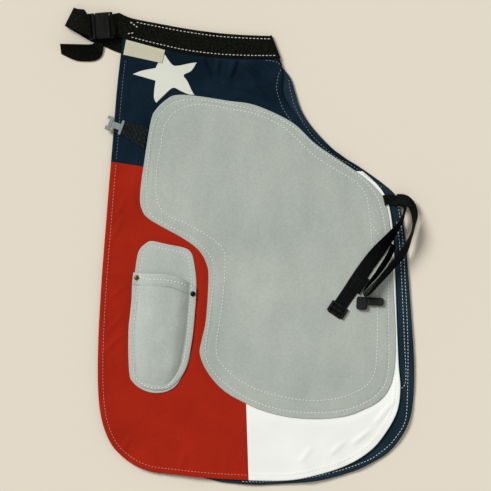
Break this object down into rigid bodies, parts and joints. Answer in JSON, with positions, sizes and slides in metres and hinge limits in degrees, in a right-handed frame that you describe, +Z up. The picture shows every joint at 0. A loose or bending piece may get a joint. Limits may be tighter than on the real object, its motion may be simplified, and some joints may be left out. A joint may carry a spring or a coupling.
{
  "type": "farrier's apron",
  "caption": "Split-leg farrier's work apron folded flat: navy, red and white canvas with a suede leg patch, an open suede knife pocket, a leg strap and a buckled webbing waist belt.",
  "frame": {"origin": "middle of the folded apron's footprint, on the surface it lies on", "axes": "+Y from the hem up to the waist belt, +X across the legs toward the leg strap, +Z up from the surface"},
  "size_m": [0.6312, 0.8448, 0.0355],
  "materials": {
    "navy_canvas": "matt woven canvas",
    "red_canvas": "matt woven canvas",
    "white_canvas": "matt woven canvas",
    "grey_suede": "napped suede",
    "label_cloth": "smooth woven label",
    "black_webbing": "woven webbing with a slight sheen",
    "black_plastic": "satin moulded plastic",
    "grey_plastic": "satin moulded plastic",
    "dark_grey_plastic": "satin moulded plastic",
    "brass": "dull antique brass",
    "black_metal": "black enamelled metal"
  },
  "bodies": {
    "root": {"yoke": "navy_canvas", "lining": "navy_canvas", "panel_red_near": "red_canvas", "panel_red_far": "red_canvas", "panel_white_near": "white_canvas", "panel_white_far": "white_canvas", "patch_near": "grey_suede", "patch_far": "grey_suede", "star": "white_canvas", "label": "label_cloth", "side_strap": "black_webbing", "pocket_back": "grey_suede", "pocket_pouch": "grey_suede", "pocket_hem": "grey_suede", "rivet_left": "brass", "rivet_right": "black_metal", "waist_belt": "black_webbing", "belt_tail": "black_webbing", "buckle_socket": "black_plastic", "buckle_prongs": "black_plastic", "side_prong": "grey_plastic", "leg_strap": "black_webbing", "leg_strap_loop": "black_webbing", "leg_strap_tail": "black_webbing", "leg_prong": "dark_grey_plastic", "strap_slider": "black_plastic"}
  },
  "joints": []
}
